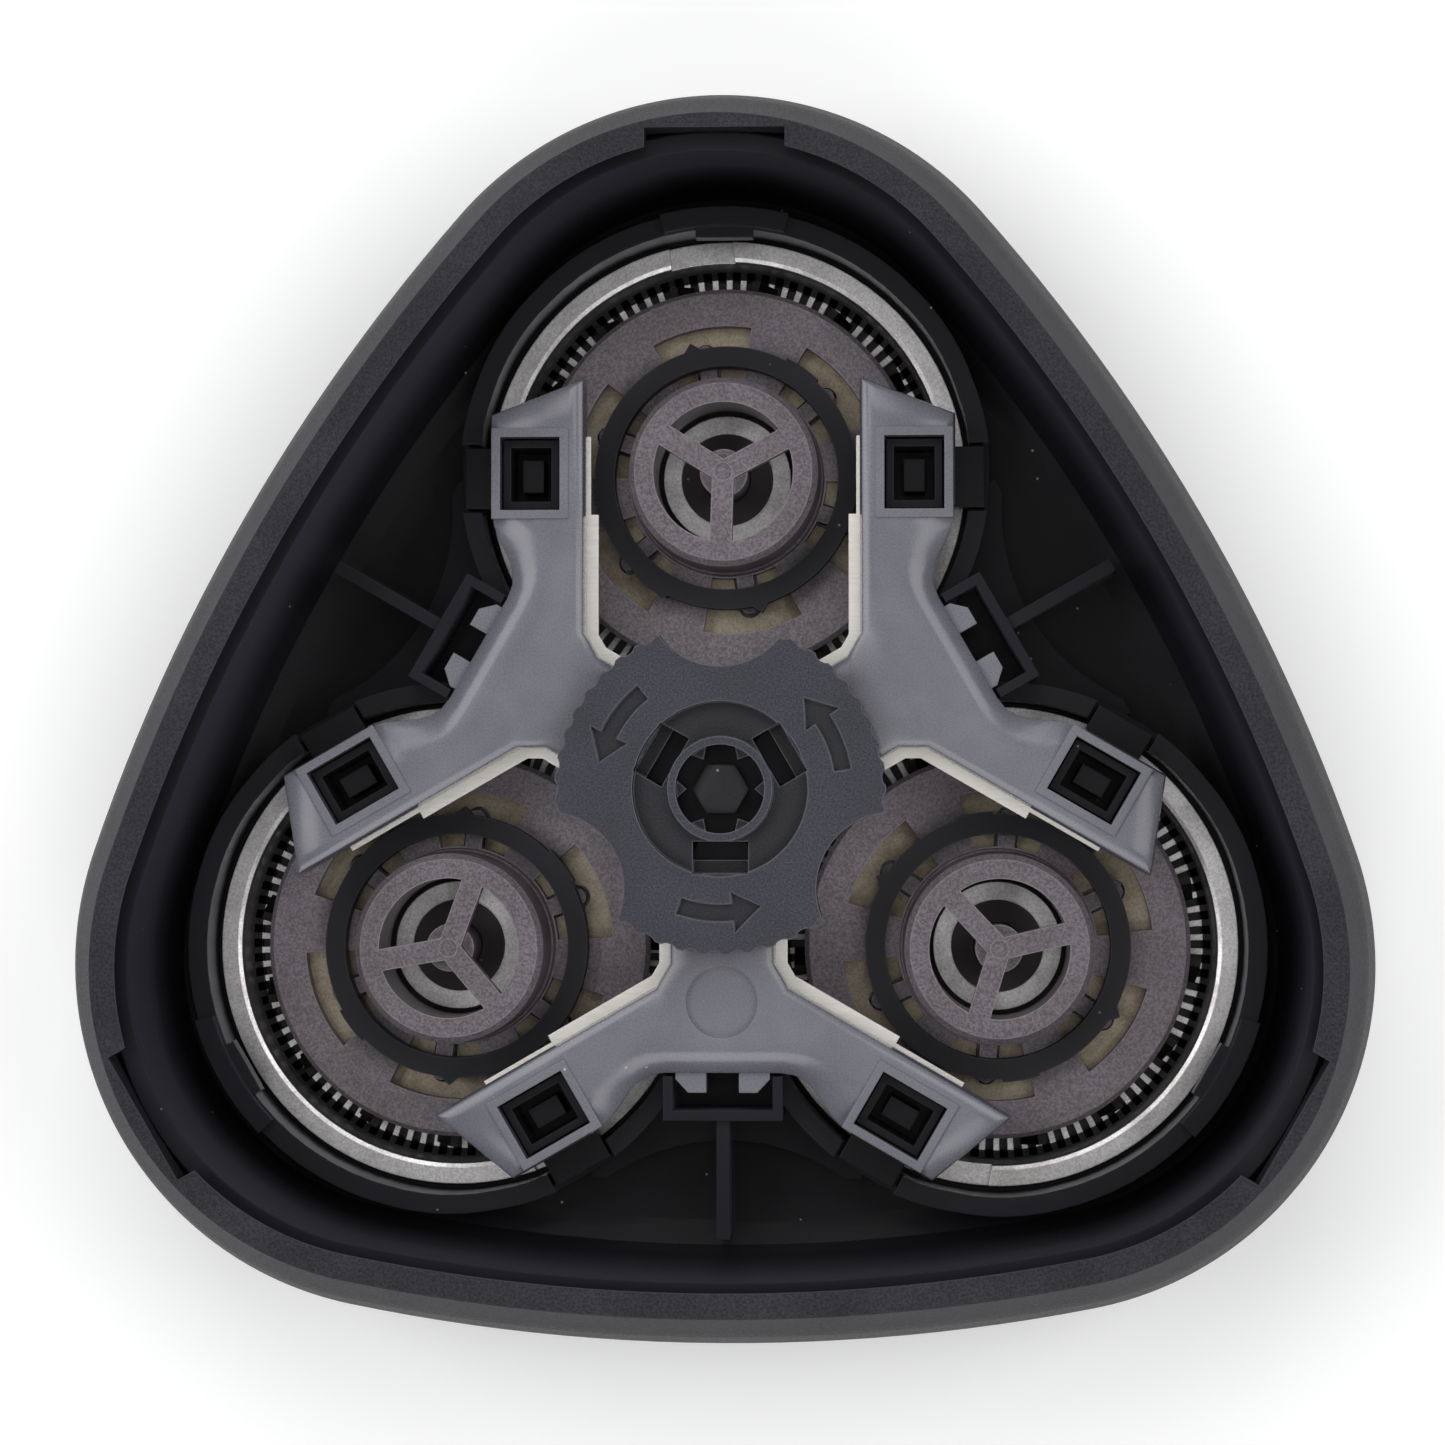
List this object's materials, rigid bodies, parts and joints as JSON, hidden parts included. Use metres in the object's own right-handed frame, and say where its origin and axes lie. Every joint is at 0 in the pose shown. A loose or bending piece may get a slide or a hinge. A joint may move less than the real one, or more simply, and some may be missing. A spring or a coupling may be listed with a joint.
{
  "type": "rotary shaver head",
  "caption": "Rounded triangular rotary shaver head with floating cutting heads, spoked drive couplings and a turning lock knob under a retaining frame.",
  "frame": {"origin": "centre of the flat boss in the middle of the front, on the plane of the guards' faces", "axes": "+Z points away from the skin towards the drive side and the rim, +Y from the lock knob to the first cutting head, +X to the right of the object seen from the drive side with +Y up"},
  "size_m": [0.067, 0.0644, 0.017],
  "materials": {
    "shell_plastic": "fine spark-eroded texture",
    "holder_plastic": "gloss with fine scratches",
    "frame_plastic": "satin",
    "knob_plastic": "satin",
    "foot_plastic": "gloss",
    "spring_steel": "brushed",
    "guard_steel": "turned",
    "cutter_steel": "ground, tinted by oil",
    "bearing_plastic": "gloss",
    "carrier_plastic": "satin",
    "clip_plastic": "gloss"
  },
  "bodies": {
    "housing": {"outer_shell": "shell_plastic", "inner_holder": "holder_plastic", "retaining_frame": "frame_plastic", "spring_plate": "spring_steel", "foot_1": "foot_plastic", "foot_2": "foot_plastic", "foot_3": "foot_plastic", "foot_4": "foot_plastic", "foot_5": "foot_plastic", "foot_6": "foot_plastic"},
    "knob": {"lock_knob": "knob_plastic"},
    "head_1": {"guard_1": "guard_steel", "bearing_1": "bearing_plastic"},
    "head_2": {"guard_2": "guard_steel", "bearing_2": "bearing_plastic"},
    "head_3": {"guard_3": "guard_steel", "bearing_3": "bearing_plastic"},
    "blades_1": {"cutter_1": "cutter_steel", "carrier_1": "carrier_plastic", "clip_ring_1": "clip_plastic"},
    "blades_2": {"cutter_2": "cutter_steel", "carrier_2": "carrier_plastic", "clip_ring_2": "clip_plastic"},
    "blades_3": {"cutter_3": "cutter_steel", "carrier_3": "carrier_plastic", "clip_ring_3": "clip_plastic"}
  },
  "joints": [
    {"name": "knob_turn", "type": "hinge", "parent": "housing", "child": "knob", "pos_m": [0, 0, 0.0096], "axis": [0, 0, 1], "range_deg": [0, 60]},
    {"name": "head_1_float", "type": "slide", "parent": "housing", "child": "head_1", "axis": [0, 0, 1], "range_m": [0, 0.001], "stiffness_N_per_m": 600, "springref_m": -0.0015},
    {"name": "head_2_float", "type": "slide", "parent": "housing", "child": "head_2", "axis": [0, 0, 1], "range_m": [0, 0.001], "stiffness_N_per_m": 600, "springref_m": -0.0015},
    {"name": "head_3_float", "type": "slide", "parent": "housing", "child": "head_3", "axis": [0, 0, 1], "range_m": [0, 0.001], "stiffness_N_per_m": 600, "springref_m": -0.0015},
    {"name": "blades_1_spin", "type": "hinge", "parent": "head_1", "child": "blades_1", "pos_m": [0, 0.0166, 0.002], "axis": [0, 0, 1], "continuous": true},
    {"name": "blades_2_spin", "type": "hinge", "parent": "head_2", "child": "blades_2", "pos_m": [-0.01438, -0.0083, 0.002], "axis": [0, 0, 1], "continuous": true},
    {"name": "blades_3_spin", "type": "hinge", "parent": "head_3", "child": "blades_3", "pos_m": [0.01438, -0.0083, 0.002], "axis": [0, 0, 1], "continuous": true}
  ]
}
